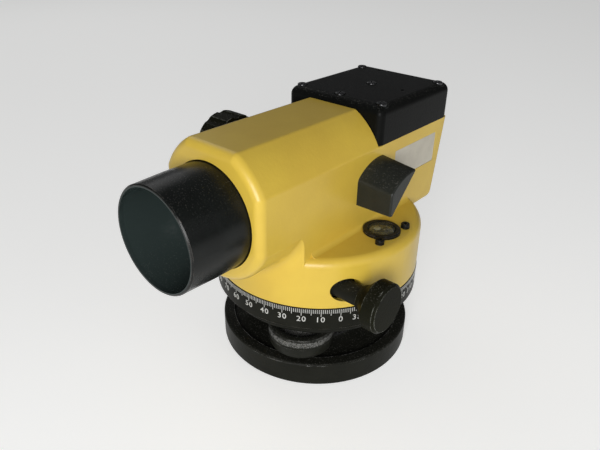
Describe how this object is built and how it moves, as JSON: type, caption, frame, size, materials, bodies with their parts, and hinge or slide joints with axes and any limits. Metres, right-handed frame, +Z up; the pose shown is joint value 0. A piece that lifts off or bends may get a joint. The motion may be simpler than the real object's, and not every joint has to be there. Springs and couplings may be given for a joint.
{
  "type": "automatic level",
  "caption": "Surveyor's automatic level with a short hooded telescope on a round three-screw levelling base, black graduated circle, circular level and side knobs.",
  "frame": {"origin": "middle of the base plate's underside, where the axis of the tripod thread leaves it", "axes": "+Z up along the standing axis, -Y towards the objective, +X towards the circular level"},
  "size_m": [0.1324, 0.1996, 0.1341],
  "materials": {
    "yellow_paint": "semi-gloss sprayed paint over a casting",
    "black_paint": "satin black paint",
    "black_anodised": "black anodised",
    "black_plastic": "moulded, satin",
    "steel": "turned",
    "brass": "turned",
    "glass": "polished",
    "mirror": "polished",
    "label": "bare plate",
    "magnet": "plain"
  },
  "bodies": {
    "base": {"base_plate": "black_paint", "tripod_bush": "brass", "spring_plate": "steel", "spring_screws": "steel"},
    "foot_screw_1": {"foot_spindle_1": "steel", "foot_knob_1": "black_plastic"},
    "foot_screw_2": {"foot_spindle_2": "steel", "foot_knob_2": "black_plastic"},
    "foot_screw_3": {"foot_spindle_3": "steel", "foot_knob_3": "black_plastic"},
    "head": {"levelling_head": "black_paint", "head_bushes": "brass", "axis_sleeve": "steel", "sleeve_screws": "steel"},
    "circle": {"horizontal_circle": "black_anodised"},
    "telescope": {"body_casting": "yellow_paint", "axis_spindle": "steel", "axis_screws": "steel", "axis_nut": "steel", "tangent_sleeves": "black_anodised", "objective_cell": "black_anodised", "objective_lens": "glass", "objective_ring": "black_anodised", "focus_bush": "brass", "level_cup": "black_anodised", "level_vial": "glass", "level_screws": "black_anodised", "mirror_housing": "black_plastic", "bubble_mirror": "mirror", "compensator_cover": "black_plastic", "cover_screws": "steel", "label_plate": "label", "compensator_frame": "black_anodised", "suspension_tapes": "steel", "fixed_prisms": "glass", "damping_magnets": "magnet", "reticle_cell": "black_anodised", "reticle": "glass", "eyepiece_tube": "black_anodised"},
    "wheel": {"friction_wheel": "brass"},
    "tangent": {"tangent_shaft": "steel", "tangent_knob_right": "black_plastic", "tangent_knob_left": "black_plastic"},
    "hood": {"lens_hood": "black_anodised"},
    "carriage": {"focus_carriage": "black_anodised", "focus_lens": "glass"},
    "focusing": {"focus_pinion": "steel", "focus_knob": "black_plastic"},
    "pendulum": {"pendulum": "brass", "pendulum_prism": "glass"},
    "eyepiece": {"eyepiece_ring": "black_plastic", "eyepiece_lens": "glass"}
  },
  "joints": [
    {"name": "head_tilt", "type": "hinge", "parent": "base", "child": "head", "pos_m": [-0.00833, 0.01567, 0.03335], "axis": [0.8829, 0.4695, 0], "range_deg": [-1, 1]},
    {"name": "foot_screw_1_turn", "type": "hinge", "parent": "base", "child": "foot_screw_1", "pos_m": [0.01667, -0.03134, 0.02], "axis": [0, 0, 1], "range_deg": [-450, 450]},
    {"name": "foot_screw_2_turn", "type": "hinge", "parent": "base", "child": "foot_screw_2", "pos_m": [0.01881, 0.03011, 0.02], "axis": [0, 0, 1], "range_deg": [-450, 450]},
    {"name": "foot_screw_3_turn", "type": "hinge", "parent": "base", "child": "foot_screw_3", "pos_m": [-0.03548, 0.00124, 0.02], "axis": [0, 0, 1], "range_deg": [-450, 450]},
    {"name": "circle_turn", "type": "hinge", "parent": "head", "child": "circle", "pos_m": [0, 0, 0.04], "axis": [0, 0, 1], "continuous": true},
    {"name": "azimuth", "type": "hinge", "parent": "head", "child": "telescope", "pos_m": [0, 0, 0.05], "axis": [0, 0, 1], "continuous": true},
    {"name": "wheel_turn", "type": "hinge", "parent": "telescope", "child": "wheel", "pos_m": [0, 0, 0.0595], "axis": [0, 0, 1], "continuous": true},
    {"name": "tangent_turn", "type": "hinge", "parent": "telescope", "child": "tangent", "pos_m": [0, -0.0313, 0.0595], "axis": [1, 0, 0], "continuous": true},
    {"name": "hood_slide", "type": "slide", "parent": "telescope", "child": "hood", "axis": [0, 1, 0], "range_m": [0, 0.021]},
    {"name": "carriage_slide", "type": "slide", "parent": "telescope", "child": "carriage", "axis": [0, 1, 0], "range_m": [-0.0075, 0.0075]},
    {"name": "focus_turn", "type": "hinge", "parent": "telescope", "child": "focusing", "pos_m": [-0.04, -0.02, 0.104], "axis": [1, 0, 0], "range_deg": [-108, 108]},
    {"name": "pendulum_swing", "type": "hinge", "parent": "telescope", "child": "pendulum", "pos_m": [0, 0.038, 0.1084], "axis": [1, 0, 0], "range_deg": [-0.4, 0.4], "stiffness_Nm_per_rad": 0.02},
    {"name": "eyepiece_turn", "type": "hinge", "parent": "telescope", "child": "eyepiece", "pos_m": [0, 0.09, 0.0987], "axis": [0, 1, 0], "range_deg": [-150, 150]}
  ],
  "couplings": [
    {"joint": "foot_screw_1_turn", "follows": "head_tilt", "ratio": 446.1},
    {"joint": "tangent_turn", "follows": "wheel_turn", "ratio": 90},
    {"joint": "focus_turn", "follows": "carriage_slide", "rad_per_m": 250}
  ]
}
